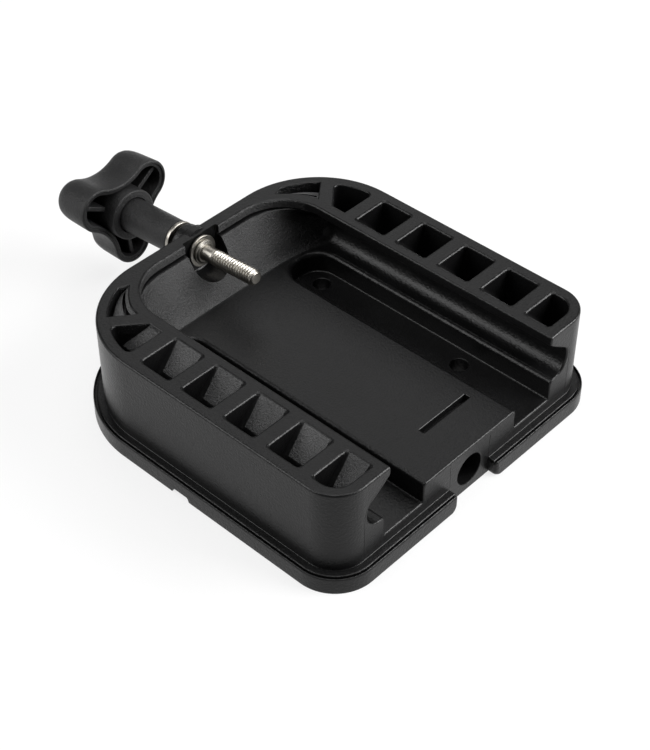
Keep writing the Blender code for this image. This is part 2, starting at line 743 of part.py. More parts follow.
def make_knob(mat):
    """Three-lobed knob with a hub, one rib in each lobe and a closed seat for the screw's head."""
    knob = make_knob_shell()
    hub_end = KNOB_HOLLOW_S + REACH
    hub_profile = [
        (0.0, hub_end), (HUB_R, hub_end), (HUB_R, HUB_FACE_S + 0.5),
        (HUB_R - 0.5, HUB_FACE_S), (0.0, HUB_FACE_S),
    ]
    boolean(knob, turned("hub", hub_profile, 40), "UNION")
    rib_start = HUB_R - 2.0
    rib_end = LOBE_CENTRE + LOBE_R - 1.0
    for k in range(LOBE_COUNT):
        rib_top = KNOB_RIM_S + KNOB_RIB_BELOW_RIM
        rib = box("rib", rib_start, rib_end, -KNOB_RIB / 2, KNOB_RIB / 2, rib_top, hub_end)
        angle = math.radians(KNOB_TURN_DEG + 360 * k / LOBE_COUNT)
        rib.data.transform(Matrix.Rotation(angle, 4, "Z"))
        boolean(knob, rib, "UNION")
    bake(knob)
    below = HUB_FACE_S - REACH
    seat = cylinder("sleeve_seat", 0.0, 0.0, SLEEVE_R + GAP, below, HUB_FACE_S + SLEEVE_SEAT + GAP, 40)
    shaft = cylinder("shaft_hole", 0.0, 0.0, SHANK_R + GAP, below, HEAD_S, 20)
    pocket_end = HEAD_S + HEAD_HEIGHT + GAP
    pocket = outline_solid("head_pocket", hexagon(HEAD_FLATS + 2 * GAP), HEAD_S - GAP, pocket_end)
    for cutter in (seat, shaft, pocket):
        boolean(knob, cutter)
        bake(knob)
    tidy_mesh(knob)
    place_on_screw(knob)
    return smooth(knob, mat)


def build():
    clear_scene()
    nylon = material("black_nylon", (0.018, 0.018, 0.019), 0.42)
    knob_nylon = material("knob_nylon", (0.020, 0.020, 0.021), 0.38)
    steel = material("stainless_steel", (0.62, 0.60, 0.57), 0.28, 1.0)
    make_housing(nylon)
    make_screw(steel)
    make_inner_washer(steel)
    make_retainer(steel)
    make_outer_washer(steel)
    make_sleeve(knob_nylon)
    make_knob(knob_nylon)


build()
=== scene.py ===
"""Looks of the slide-in mounting base: finely rounded mouldings, a real thread and procedural materials.

Sizes are in millimetres in the CAD model's own frame (+Z up, -Y the open front) and MM turns them
into metres where meshes are made.
"""

import math

import bmesh
import bpy
from mathutils import Matrix, Vector


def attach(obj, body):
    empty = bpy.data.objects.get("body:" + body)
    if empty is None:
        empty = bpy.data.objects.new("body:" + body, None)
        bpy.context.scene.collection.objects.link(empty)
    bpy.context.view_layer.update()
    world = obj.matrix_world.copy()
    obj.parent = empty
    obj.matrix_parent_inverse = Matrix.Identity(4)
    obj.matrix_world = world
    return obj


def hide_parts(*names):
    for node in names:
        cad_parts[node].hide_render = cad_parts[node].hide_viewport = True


MM = 0.001
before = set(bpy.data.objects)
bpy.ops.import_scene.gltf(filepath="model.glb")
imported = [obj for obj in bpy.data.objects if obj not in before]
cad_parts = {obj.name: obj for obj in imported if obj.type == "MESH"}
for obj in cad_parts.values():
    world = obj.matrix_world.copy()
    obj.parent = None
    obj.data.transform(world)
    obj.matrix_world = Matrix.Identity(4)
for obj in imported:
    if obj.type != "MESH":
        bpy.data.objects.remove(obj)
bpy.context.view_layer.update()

# Housing
HALF_WIDTH = 66.3
HALF_LENGTH = 67.25
HEIGHT = 41.4
REAR_CORNER_R = 36.5
FRONT_CORNER_R = 12.5
REAR_CENTRE_X = HALF_WIDTH - REAR_CORNER_R
REAR_CENTRE_Y = HALF_LENGTH - REAR_CORNER_R
PAD_Z = 19.9
CHANNEL_Z = 11.4
# outward step of the wall and its height: foot flange, its groove, ridge, wall, rounded top edge
WALL_PROFILE = [
    (3.85, 0.0), (3.98, 0.08), (4.05, 0.3), (4.05, 0.7), (4.02, 6.1), (3.95, 6.42),
    (3.82, 6.66), (3.6, 6.78), (3.46, 6.7), (3.42, 6.45), (3.4, 5.6), (2.72, 5.6),
    (2.7, 6.45), (2.6, 6.74), (2.4, 6.9), (2.1, 6.95),
    (0.12, 6.98), (0.02, 7.08), (0.0, 7.3), (0.0, 40.5), (-0.07, 40.84), (-0.26, 41.14),
    (-0.55, 41.33), (-0.9, 41.4),
]
FLANGE_GAP_HALF = 10.0
FLANGE_END_R = 1.5
FLANGE_OUT = 4.0
# inside of the tray: height, half-width across the rails, distance of the back wall
SLOPE_LEVELS = [
    (19.9, 45.0, 47.5), (20.15, 47.3, 48.3), (21.0, 49.3, 49.5), (22.6, 50.9, 50.7), (25.1, 51.9, 52.1),
    (27.4, 52.1, 53.6), (30.2, 51.5, 55.5), (31.7, 50.0, 56.5), (34.3, 46.1, 58.2), (35.6, 44.3, 59.0),
]
LIP_X = 41.5
LIP_Y = 61.5
CAVITY_CORNER_X = 21.5
CAVITY_CORNER_Y = 41.5
OPEN_Y = -HALF_LENGTH - 8.0
CHANNEL_INNER = 24.3
CHANNEL_OUTER = 43.7
CHANNEL_REAR_Y = 44.5
CHANNEL_CORNER_R = 8.5
# pockets
POCKET_IN = 45.3
POCKET_OUT = 62.0
POCKET_LENGTH = 14.33
POCKET_PITCH = 19.76
POCKET_FIRST_REAR_Y = 27.07
POCKET_FRONT_Y = -63.0
POCKET_ARC_R = REAR_CORNER_R - 4.2
MOUTH_R = 0.8
LIP_R = 0.9
FRONT_EDGE_R = 0.6
# rounded mouths end this far below the surface they open in, so no ring lies exactly on it
SKIM = 0.012
# step outwards and height over the floor of a channel's sides, from floor fillet to rounded top
CHANNEL_PROFILE = [(-0.7, 0.0), (-0.35, 0.1), (-0.1, 0.35), (0.0, 0.7), (0.0, 6.9), (0.12, 7.5),
                   (0.47, 8.03), (1.0, 8.38), (1.6, 8.5 - SKIM)]
# clamp screw
SCREW_TILT_DEG = 4.5
SCREW_REF_Y = 63.0
SCREW_REF_Z = 34.33
WALL_HOLE_Z = 34.0
WALL_HOLE_R = 3.75
BOSS_R = 7.1
BOSS_END_Y = 71.9
RECESS_HALF_WIDTH = 8.5
RECESS_BACK_Y = 62.95
THREAD_PITCH = 1.27
THREAD_R = 3.14
THREAD_ROOT_R = 2.42
SHANK_R = 3.0
SCREW_TIP_S = -29.7
THREAD_END_S = -8.4
HUB_FACE_S = 36.4
HUB_R = 10.1
SLEEVE_R = 6.75
OUTER_WASHER_S = 9.83
OUTER_WASHER_THICK = 1.6
OUTER_WASHER_R = 7.0
INNER_WASHER_S = -0.95
INNER_WASHER_THICK = 1.0
INNER_WASHER_R = 6.25
RETAINER_R = 4.7
GAP = 0.3
LOBE_COUNT = 3
LOBE_CENTRE = 14.2
LOBE_R = 8.7
VALLEY_R = 17.4
KNOB_TURN_DEG = -91.7
KNOB_WALL = 2.6
KNOB_RIM_S = 39.8
HEX_FLATS = 11.1
TIP_STEP = 0.25
THREAD_AROUND = 64
THREAD_TURNS = 17
RINGS_PER_TURN = 16
# low details: screw holes, bore, slot, drain notch
SCREW_HOLE_X = 36.5
SCREW_HOLE_YS = (35.35, -32.55)
SCREW_HOLE_R = 3.3
BORE_Z = 9.2
BORE_R = 6.25
BORE_STEP = 1.65
CORE_CENTRE_YS = ((-49.0, -36.0), (-33.0, -10.0), (10.0, 24.0), (27.0, 41.0))
CORE_SIDE_YS = ((-59.0, -42.0), (-23.0, -6.0), (-3.0, 24.0))
FLOOR_THICK = 4.0
# camera
CAMERA_AZIMUTH_DEG = -47.05
CAMERA_ELEVATION_DEG = 42.37
CAMERA_TARGET = (-24.6, -23.15, 41.4)
CAMERA_DISTANCE = 545.3
CAMERA_LENS = 78.86
FLOOR_HALF_SIZE = 9000.0
# name, azimuth, elevation, distance in metres, size in metres, power
LIGHTS = (
    ("overhead", 0.0, 88.0, 1.3, 1.0, 12.5),
    ("rear_right", 133.0, 42.0, 1.3, 0.9, 3.2),
    ("left_rear", -127.0, 33.0, 1.1, 0.7, 9.5),
    ("right_front", 39.0, 30.0, 1.1, 0.7, 26.0),
)
# stainless steel, stained and clean
STEEL_DARK = (0.25, 0.235, 0.21, 1.0)
STEEL_LIGHT = (0.34, 0.325, 0.295, 1.0)
# nylon
ARCH_BLACK = (0.03, 0.03, 0.0302)
SLOPE_BLACK = (0.05, 0.05, 0.0503)
KNOB_BLACK = (0.009, 0.009, 0.0092)
HOUSING_BLACK = (0.003, 0.003, 0.0031)
HOUSING_ROUGHNESS = 0.31
# span across which the back arch turns smoother and its colour is darkened with painted shade towards the
# sides
GLOSS_AND_SHADE_FROM = 24.0
GLOSS_AND_SHADE_TO = 42.0


# ---------------------------------------------------------------- mesh helpers
def arc(cx, cy, radius, start_deg, end_deg, count, radius_y=None):
    """count + 1 points along an arc, both ends included."""
    ry = radius if radius_y is None else radius_y
    points = []
    for i in range(count + 1):
        angle = math.radians(start_deg + (end_deg - start_deg) * i / count)
        points.append((cx + radius * math.cos(angle), cy + ry * math.sin(angle)))
    return points


def to_object(name, bm):
    """Object from a bmesh in millimetres."""
    bmesh.ops.scale(bm, vec=(MM, MM, MM), verts=bm.verts)
    bmesh.ops.recalc_face_normals(bm, faces=bm.faces)
    mesh = bpy.data.meshes.new(name)
    bm.to_mesh(mesh)
    bm.free()
    obj = bpy.data.objects.new(name, mesh)
    bpy.context.scene.collection.objects.link(obj)
    return obj


def loft(name, rings):
    """Skin closed rings with equal numbers of points and cap both ends."""
    bm = bmesh.new()
    skin(bm, rings)
    return to_object(name, bm)


def skin(bm, rings):
    """Add a capped skin over closed rings to a bmesh."""
    made = [[bm.verts.new(point) for point in ring] for ring in rings]
    count = len(made[0])
    for lower, upper in zip(made, made[1:]):
        for i in range(count):
            j = (i + 1) % count
            bm.faces.new((lower[i], lower[j], upper[j], upper[i]))
    bm.faces.new(made[0][::-1])
    bm.faces.new(made[-1])


def mirror_bmesh(bm):
    """Add the mirror image in x=0 of everything in a bmesh."""
    copy = bmesh.ops.duplicate(bm, geom=bm.verts[:] + bm.edges[:] + bm.faces[:])
    verts = [item for item in copy["geom"] if isinstance(item, bmesh.types.BMVert)]
    faces = [item for item in copy["geom"] if isinstance(item, bmesh.types.BMFace)]
    bmesh.ops.scale(bm, vec=(-1, 1, 1), verts=verts)
    bmesh.ops.reverse_faces(bm, faces=faces)


def turned_rings(profile, count):
    """Rings of a turned shape from (radius, height) points; radius 0 isn't used."""
    rings = []
    for radius, height in profile:
        ring = []
        for i in range(count):
            angle = 2 * math.pi * i / count
            ring.append((radius * math.cos(angle), radius * math.sin(angle), height))
        rings.append(ring)
    return rings


def annulus(name, profile, count):
    """Turn a closed (radius, height) profile about Z."""
    bm = bmesh.new()
    made = [[bm.verts.new(point) for point in ring] for ring in turned_rings(profile, count)]
    for k, ring in enumerate(made):
        following = made[(k + 1) % len(made)]
        for i in range(count):
            j = (i + 1) % count
            bm.faces.new((ring[i], ring[j], following[j], following[i]))
    return to_object(name, bm)


def boolean(target, tool, operation="DIFFERENCE", use_self=False):
    """Apply an exact boolean and delete the tool."""
    mod = target.modifiers.new("cut", "BOOLEAN")
    mod.operation = operation
    mod.solver = "EXACT"
    mod.use_self = use_self
    mod.object = tool
    bpy.context.view_layer.update()
    graph = bpy.context.evaluated_depsgraph_get()
    mesh = bpy.data.meshes.new_from_object(target.evaluated_get(graph))
    target.modifiers.clear()
    target.data = mesh
    bpy.data.objects.remove(tool, do_unlink=True)
    return target


def offset_ring(points, distance):
    """Move a counter-clockwise flat ring outwards by distance."""
    count = len(points)
    moved = []
    for i in range(count):
        px, py = points[i - 1]
        x, y = points[i]
        nx, ny = points[(i + 1) % count]
        before = Vector((x - px, y - py)).normalized()
        after = Vector((nx - x, ny - y)).normalized()
        normal_a = Vector((before.y, -before.x))
        normal_b = Vector((after.y, -after.x))
        mitre = (normal_a + normal_b) / max(0.35, 1 + normal_a.dot(normal_b))
        moved.append((x + mitre.x * distance, y + mitre.y * distance))
    return moved


def at_height(ring, z):
    return [(x, y, z) for x, y in ring]


def flared(rings, top_ring, top, radius=MOUTH_R):
    """Add a rounded mouth to rings that end below the top surface."""
    for angle_deg in (0, 30, 60, 90):
        angle = math.radians(angle_deg)
        out = radius * (1 - math.cos(angle))
        z = top - SKIM - radius + radius * math.sin(angle)
        rings.append(at_height(offset_ring(top_ring, out), z))
    rings.append(at_height(offset_ring(top_ring, radius * 2), top + radius))
    return rings


def smooth_curve(points, steps):
    """Catmull-Rom curve through tuples."""
    result = []
    for i in range(len(points) - 1):
        p0 = points[max(i - 1, 0)]
        p1 = points[i]
        p2 = points[i + 1]
        p3 = points[min(i + 2, len(points) - 1)]
        for k in range(steps):
            t = k / steps
            result.append(tuple(
                0.5 * (2 * b + (c - a) * t + (2 * a - 5 * b + 4 * c - d) * t * t
                       + (3 * b - a - 3 * c + d) * t ** 3)
                for a, b, c, d in zip(p0, p1, p2, p3)))
    result.append(points[-1])
    return result


def finish_mesh(obj, mat, angle_deg=32.0, merge=0.004):
    """Merge stray points, smooth the curved faces and give the piece its material."""
    bm = bmesh.new()
    bm.from_mesh(obj.data)
    bmesh.ops.remove_doubles(bm, verts=bm.verts, dist=merge * MM)
    bmesh.ops.dissolve_degenerate(bm, edges=bm.edges, dist=merge * MM)
    bm.to_mesh(obj.data)
    bm.free()
    obj.data.materials.clear()
    obj.data.materials.append(mat)
    obj.data.shade_smooth()
    obj.data.set_sharp_from_angle(angle=math.radians(angle_deg))
    return obj


def even_shading(obj):
    """Let large flat faces decide the shading at their corners, so that they look flat."""
    mod = obj.modifiers.new("even", "WEIGHTED_NORMAL")
    mod.keep_sharp = True
    mod.weight = 100
    bpy.context.view_layer.update()
    graph = bpy.context.evaluated_depsgraph_get()
    mesh = bpy.data.meshes.new_from_object(obj.evaluated_get(graph))
    obj.modifiers.clear()
    obj.data = mesh
    return obj


def screw_frame():
    """Z runs along the screw towards the knob, from its point on the back wall."""
    tilt = math.radians(SCREW_TILT_DEG)
    axis = Vector((0.0, math.cos(tilt), -math.sin(tilt)))
    side = Vector((-1.0, 0.0, 0.0))
    up = axis.cross(side)
    turn = Matrix((side, up, axis)).transposed().to_4x4()
    return Matrix.Translation((0.0, SCREW_REF_Y * MM, SCREW_REF_Z * MM)) @ turn


def on_screw(obj):
    """Move a mesh made along Z onto the screw's axis."""
    obj.data.transform(screw_frame())
    return obj


# ---------------------------------------------------------------- housing
def body_outline(offset):
    half_x = HALF_WIDTH + offset
    half_y = HALF_LENGTH + offset
    rear = REAR_CORNER_R + offset
    front = FRONT_CORNER_R + offset
    points = arc(half_x - rear, half_y - rear, rear, 0, 90, 36)
    points += arc(-half_x + rear, half_y - rear, rear, 90, 180, 36)
    points += arc(-half_x + front, -half_y + front, front, 180, 270, 18)
    points += arc(half_x - front, -half_y + front, front, 270, 360, 18)
    return points


def cavity_ring(z, half_x, rear_y):
    rx = half_x - CAVITY_CORNER_X
    ry = rear_y - CAVITY_CORNER_Y
    right = arc(CAVITY_CORNER_X, CAVITY_CORNER_Y, rx, 0, 90, 24, radius_y=ry)
    left = arc(-CAVITY_CORNER_X, CAVITY_CORNER_Y, rx, 90, 180, 24, radius_y=ry)
    return [(half_x, OPEN_Y, z)] + [(x, y, z) for x, y in right + left] + [(-half_x, OPEN_Y, z)]


def make_cavity():
    levels = smooth_curve(SLOPE_LEVELS, 4)
    levels += [(36.25, 43.4, 59.4), (36.65, 42.9, 59.72), (36.9, 42.7, 60.12)]
    levels += [(37.03, 42.5, 60.6), (37.07, 42.4, 61.1), (37.1, 42.3, 62.4)]
    levels += [(37.65, 41.9, 62.4), (37.7, 41.85, 62.0), (37.75, 41.65, 61.6)]
    levels += [(37.87, LIP_X + 0.05, LIP_Y - 0.1), (38.1, LIP_X, LIP_Y - 0.2)]
    for angle_deg in (0, 22.5, 45, 67.5, 90):
        angle = math.radians(angle_deg)
        out = LIP_R * (1 - math.cos(angle))
        z = HEIGHT - SKIM - LIP_R * (1 - math.sin(angle))
        levels.append((z, LIP_X + out, LIP_Y - 0.2 + out))
    levels.append((HEIGHT + LIP_R, LIP_X + 2 * LIP_R, LIP_Y + 2 * LIP_R))
    return loft("cavity", [cavity_ring(z, hx, ry) for z, hx, ry in levels])


def channel_ring(offset):
    r = CHANNEL_CORNER_R + offset
    x0 = CHANNEL_INNER - offset
    x1 = CHANNEL_OUTER + offset
    y_end = CHANNEL_REAR_Y + offset
    points = [(x0, OPEN_Y), (x1, OPEN_Y)]
    points += arc(x1 - r, y_end - r, r, 0, 90, 14)
    points += arc(x0 + r, y_end - r, r, 90, 180, 14)
    return points


def make_channels(bm):
    levels = CHANNEL_PROFILE + [(2.4, 9.3)]
    skin(bm, [at_height(channel_ring(out), CHANNEL_Z + up) for out, up in levels])


def pocket_ring(x0, x1, y0, y1, inner_r, outer_r, front_r=None):
    """Rounded plan of a pocket; inner_r is used at the corners next to the tray."""
    front = outer_r if front_r is None else front_r
    points = arc(x1 - outer_r, y1 - outer_r, outer_r, 0, 90, 6)
    points += arc(x0 + inner_r, y1 - inner_r, inner_r, 90, 180, 6)
    points += arc(x0 + inner_r, y0 + inner_r, inner_r, 180, 270, 6)
    points += arc(x1 - front, y0 + front, front, 270, 360, 6)
    return points


def regular_pocket(bm, y0, y1, front_r=1.4):
    """Deep pocket with a flat 45-degree inner slope that rolls over into a steep wall."""
    # depth below the top, inner wall
    levels = [(36.4, 56.4), (12.8, 55.7), (11.8, 55.6), (10.9, 55.35)]
    levels += [(10.1, 55.0), (9.4, 54.5), (8.7, 54.0)]
    levels += [(depth, POCKET_IN + depth) for depth in (6.0, 3.0, 1.2)]
    rings = []
    for depth, x0 in levels:
        draft = depth * 0.012
        inner_r = 1.5 + 0.08 * min(depth, 10.0)
        side = MOUTH_R / 2 + draft
        ring = pocket_ring(x0, POCKET_OUT - side, y0 + side, y1 - side, inner_r, 1.4, front_r)
        rings.append(at_height(ring, HEIGHT - depth))
    # the slope rolls over softly into the top face, the three steep walls end in a round edge
    for angle_deg, slope_in in ((0, 0.75), (30, 0.33), (60, -0.05), (90, -0.5)):
        angle = math.radians(angle_deg)
        wall_in = MOUTH_R * (math.cos(angle) - 0.5)
        ring = pocket_ring(POCKET_IN + slope_in, POCKET_OUT - wall_in, y0 + wall_in, y1 - wall_in,
                           1.6, 1.7, front_r)
        rings.append(at_height(ring, HEIGHT - SKIM - MOUTH_R * (1 - math.sin(angle))))
    beyond = 2 * MOUTH_R
    ring = pocket_ring(POCKET_IN - 2.0, POCKET_OUT + beyond, y0 - beyond, y1 + beyond, 3.0, 3.0, front_r)
    rings.append(at_height(ring, HEIGHT + MOUTH_R))
    skin(bm, rings)


def wedge_pocket(bm):
    """Pocket between the last regular one and the diagonal corner rib."""
    rib_slope = 8.6 / 10.4
    front_y = POCKET_FIRST_REAR_Y + POCKET_PITCH - POCKET_LENGTH + MOUTH_R / 2
    outer = arc(56.2, 44.5, 2.0, 129.6, 30.0, 6)
    outer += arc(REAR_CENTRE_X, REAR_CENTRE_Y, POCKET_ARC_R - MOUTH_R / 2, 24.0, 8.0, 6)
    outer += arc(59.4, front_y + 2.0, 2.0, 0.0, -90.0, 6)
    rings = []
    for depth, shift in ((36.4, 9.8), (12.0, 9.4), (10.0, 9.2), (9.0, 8.8), (8.0, 8.0), (6.0, 6.0),
                         (4.0, 4.0), (2.0, 2.0), (MOUTH_R, MOUTH_R + 0.3)):
        inner = POCKET_IN + shift
        ring = [(inner, front_y), (inner, 37.9 + shift * rib_slope)]
        ring += [(max(x, inner + 0.02 * k), y) for k, (x, y) in enumerate(outer)]
        if depth > MOUTH_R:
            rings.append(at_height(ring[::-1], HEIGHT - depth))
    skin(bm, flared(rings, ring[::-1], HEIGHT, 0.6))


def sliver_pocket(bm):
    outer = arc(REAR_CENTRE_X, REAR_CENTRE_Y, POCKET_ARC_R, 42.0, 70.0, 12)
    bend = [(45.0, 45.4), (44.2, 49.6), (42.2, 53.4), (39.6, 56.8), (36.9, 59.6)]
    inner_curve = smooth_curve(bend, 3)
    rings = []
    for depth, share in ((7.0, 0.88), (3.6, 0.84), (3.1, 0.79), (2.9, 0.74), (1.4, 0.3),
                         (MOUTH_R, 0.1)):
        ring = list(outer)
        for (xo, yo), (xi, yi) in zip(outer[::-1], inner_curve[::-1]):
            ring.append((xi + (xo - xi) * share, yi + (yo - yi) * share))
        if depth > MOUTH_R:
            rings.append(at_height(ring, HEIGHT - depth))
    skin(bm, flared(rings, ring, HEIGHT, 0.5))


def sliver_groove(bm):
    """Narrow groove along the sloping floor of the sliver pocket."""
    outer = arc(REAR_CENTRE_X, REAR_CENTRE_Y, POCKET_ARC_R, 42.5, 66.0, 10)
    inner = arc(21.0, 41.4, 24.2, 11.5, 46.0, 10)
    near = []
    far = []
    for (xo, yo), (xi, yi) in zip(outer, inner):
        near.append((xi + (xo - xi) * 0.26, yi + (yo - yi) * 0.26))
        far.append((xi + (xo - xi) * 0.44, yi + (yo - yi) * 0.44))
    ring = far + near[::-1]
    skin(bm, [at_height(offset_ring(ring, -0.3), HEIGHT - 5.0), at_height(ring, HEIGHT - 1.2)])


def rounded_box(x0, x1, y0, y1, r, count=4):
    points = []
    corners = ((x1 - r, y1 - r, 0), (x0 + r, y1 - r, 90), (x0 + r, y0 + r, 180), (x1 - r, y0 + r, 270))
    for cx, cy, start in corners:
        points += arc(cx, cy, r, start, start + 90, count)
    return points


def make_top_cutters():
    bm = bmesh.new()
    make_channels(bm)
    for i in range(4):
        rear = POCKET_FIRST_REAR_Y - i * POCKET_PITCH
        regular_pocket(bm, rear - POCKET_LENGTH, rear)
    regular_pocket(bm, POCKET_FRONT_Y, POCKET_FIRST_REAR_Y - 4 * POCKET_PITCH, front_r=7.0)
    wedge_pocket(bm)
    sliver_pocket(bm)
    mirror_bmesh(bm)
    return to_object("top_cutters", bm)


def stack_y(ring, levels):
    """Rings of an XZ outline stepped along y; levels are (y, outward offset)."""
    return [[(x, y, z) for x, z in offset_ring(ring, out)] for y, out in levels]


def make_low_cutters():
    """Recess, screw holes, underside cores, cross slot, flange gap and drains."""
    bm = bmesh.new()
    for x0, x1, rows, top in (
        (4.0, 20.0, CORE_CENTRE_YS, PAD_Z - FLOOR_THICK),
        (26.5, 40.5, CORE_SIDE_YS, CHANNEL_Z - FLOOR_THICK),
    ):
        for y0, y1 in rows:
            plan = rounded_box(x0, x1, y0, y1, 2.0)
            inner = offset_ring(plan, -0.6)
            rings = [at_height(offset_ring(plan, 0.5), -0.3), at_height(plan, 0.2)]
            rings += [at_height(plan, top - 0.6), at_height(inner, top)]
            skin(bm, rings)
    for y in SCREW_HOLE_YS:
        plan = arc(SCREW_HOLE_X, y, SCREW_HOLE_R, 0, 350, 35)
        top = CHANNEL_Z
        rings = [at_height(plan, -1.0), at_height(plan, top - 0.35)]
        for out, z in ((0.1, top - 0.1), (0.35, top - SKIM), (0.7, top + 0.4)):
            rings.append(at_height(offset_ring(plan, out), z))
        skin(bm, rings)
    reach = HALF_WIDTH + FLANGE_OUT + 1.0
    drain = rounded_box(HALF_WIDTH - 1.0, reach, -2.2, 5.4, 0.9)
    rings = []
    for out, z in ((1.0, -1.0), (0.6, 0.0), (0.2, 0.5), (0.0, 1.0), (-0.25, 1.6), (-0.8, 2.0)):
        rings.append(at_height(offset_ring(drain, out), z))
    skin(bm, rings)
    mirror_bmesh(bm)
    slot = rounded_box(-6.0, 18.6, -51.65, -49.15, 0.35)
    rings = [at_height(slot, PAD_Z - 3.0), at_height(slot, PAD_Z - 0.15)]
    for out, z in ((0.15, PAD_Z - SKIM), (0.6, PAD_Z + 0.45)):
        rings.append(at_height(offset_ring(slot, out), z))
    skin(bm, rings)
    edge = -HALF_LENGTH - FLANGE_OUT
    end = FLANGE_GAP_HALF + FLANGE_END_R
    gap = [(-end, edge - 1.0), (end, edge - 1.0)]
    gap += arc(end, edge + FLANGE_END_R, FLANGE_END_R, 270, 180, 8)
    gap += [(FLANGE_GAP_HALF, -HALF_LENGTH), (-FLANGE_GAP_HALF, -HALF_LENGTH)]
    gap += arc(-end, edge + FLANGE_END_R, FLANGE_END_R, 0, -90, 8)
    # the ends of the flange are rounded in the front view as well
    rings = []
    for z, out in ((-1.0, 2.2), (0.0, 2.0), (0.25, 1.3), (0.8, 0.6), (1.5, 0.2), (2.3, 0.0),
                   (5.9, 0.0), (6.4, 0.15), (6.75, 0.45), (6.95, 0.9), (12.0, 0.9)):
        rings.append([(x + math.copysign(out, x), y, z) for x, y in gap])
    skin(bm, rings)
    r = RECESS_HALF_WIDTH
    recess = arc(0.0, WALL_HOLE_Z, r, 180, 360, 32) + [(r, HEIGHT + 1.0), (-r, HEIGHT + 1.0)]
    skin(bm, stack_y(recess, [(44.0, 0.0), (RECESS_BACK_Y - 0.4, 0.0), (RECESS_BACK_Y, -0.4)]))
    return to_object("low_cutters", bm)


def make_witness_lines():
    """Hairline grooves on the front face where the slides of the mould met."""
    width = 0.07
    depth = 0.1
    front = -HALF_LENGTH
    bm = bmesh.new()
    groove_side = [(44.3, 38.0), (47.6, 34.9), (50.6, 32.4), (52.5, 30.3), (53.3, 28.2), (53.5, 25.5)]
    groove_side += [(53.5, 8.5)]
    for path in (groove_side, [(10.6, 19.2), (10.2, 7.6)]):
        sides = []
        for i, (x, z) in enumerate(path):
            x_before, z_before = path[max(i - 1, 0)]
            x_after, z_after = path[min(i + 1, len(path) - 1)]
            across = Vector((z_before - z_after, x_after - x_before)).normalized() * width
            sides.append(((x - across.x, z - across.y), (x + across.x, z + across.y)))
        ring = [near for near, far in sides] + [far for near, far in sides][::-1]
        skin(bm, [[(x, y, z) for x, z in ring] for y in (front - 0.3, front + depth)])
    mirror_bmesh(bm)
    return to_object("witness_lines", bm)


def make_front_flare():
    """Rounds the edges where the tray's inside meets the flat front face."""
    half = []
    for out, up in CHANNEL_PROFILE[::-1]:
        half.append((CHANNEL_INNER - out, CHANNEL_Z + up))
    for out, up in CHANNEL_PROFILE:
        half.append((CHANNEL_OUTER + out, CHANNEL_Z + up))
    for z, half_x, rear_y in smooth_curve(SLOPE_LEVELS, 4):
        if z > PAD_Z + 0.1:
            half.append((half_x, z))
    half += [(43.4, 36.25), (42.7, 36.9), (41.9, 37.5), (LIP_X, 38.2), (LIP_X, HEIGHT - LIP_R)]
    half += [(LIP_X + 0.25, HEIGHT - 0.28), (LIP_X + 0.9, HEIGHT + 0.03), (LIP_X + 1.6, HEIGHT + 2.0)]
    ring = [(-x, z) for x, z in half[::-1]] + half
    front = -HALF_LENGTH
    levels = [(front + FRONT_EDGE_R + 0.8, -0.06)]
    for angle_deg in (0, 30, 60, 90):
        angle = math.radians(angle_deg)
        levels.append((front + SKIM + FRONT_EDGE_R * (1 - math.sin(angle)),
                       0.012 + FRONT_EDGE_R * (1 - math.cos(angle))))
    levels.append((front - FRONT_EDGE_R, 2 * FRONT_EDGE_R))
    bm = bmesh.new()
    skin(bm, stack_y(ring, levels))
    return to_object("front_flare", bm)


def make_housing(mat):
    housing = loft("housing_moulding", [at_height(body_outline(out), z) for out, z in WALL_PROFILE])
    start = 64.25
    wall_s = HALF_LENGTH - start
    profile = [(BOSS_R + 1.2, 0.0), (BOSS_R + 1.2, wall_s), (BOSS_R + 0.5, wall_s + 0.2)]
    profile += [(BOSS_R + 0.1, wall_s + 0.7), (BOSS_R, wall_s + 1.3)]
    length = BOSS_END_Y - start
    profile += arc(BOSS_R - 1.4, length - 1.4, 1.4, 0, 90, 6)
    profile += [(1.0, length)]
    boss = loft("boss", turned_rings(profile, 64))
    turn = Matrix.Rotation(math.radians(-90), 4, "X")
    boss.data.transform(Matrix.Translation((0, start * MM, WALL_HOLE_Z * MM)) @ turn)
    boolean(housing, boss, "UNION")
    boolean(housing, make_cavity())
    boolean(housing, make_top_cutters())
    boolean(housing, make_low_cutters())
    hole = arc(0.0, WALL_HOLE_Z, WALL_HOLE_R, 0, 352.5, 47)
    levels = [(RECESS_BACK_Y - 1.0, 1.2), (RECESS_BACK_Y + SKIM, 0.25), (RECESS_BACK_Y + 0.25, 0.0),
              (BOSS_END_Y - 0.25, 0.0), (BOSS_END_Y - SKIM, 0.25), (BOSS_END_Y + 1.0, 1.2)]
    bm = bmesh.new()
    skin(bm, stack_y(hole, levels))
    bore = arc(0.0, BORE_Z, BORE_R, 0, 352.5, 47)
    front = -HALF_LENGTH
    levels = [(front - 1.0, 1.35), (front + SKIM, 0.35), (front + 0.12, 0.1), (front + 0.35, 0.0)]
    levels += [(front + 6.0, 0.0), (front + 6.0, -BORE_STEP), (front + 14.0, -BORE_STEP)]
    skin(bm, stack_y(bore, levels))
    boolean(housing, to_object("bores", bm))
    bm = bmesh.new()
    sliver_groove(bm)
    mirror_bmesh(bm)
    boolean(housing, to_object("sliver_grooves", bm))
    boolean(housing, make_front_flare(), use_self=True)
    boolean(housing, make_witness_lines())
    return even_shading(finish_mesh(housing, mat))


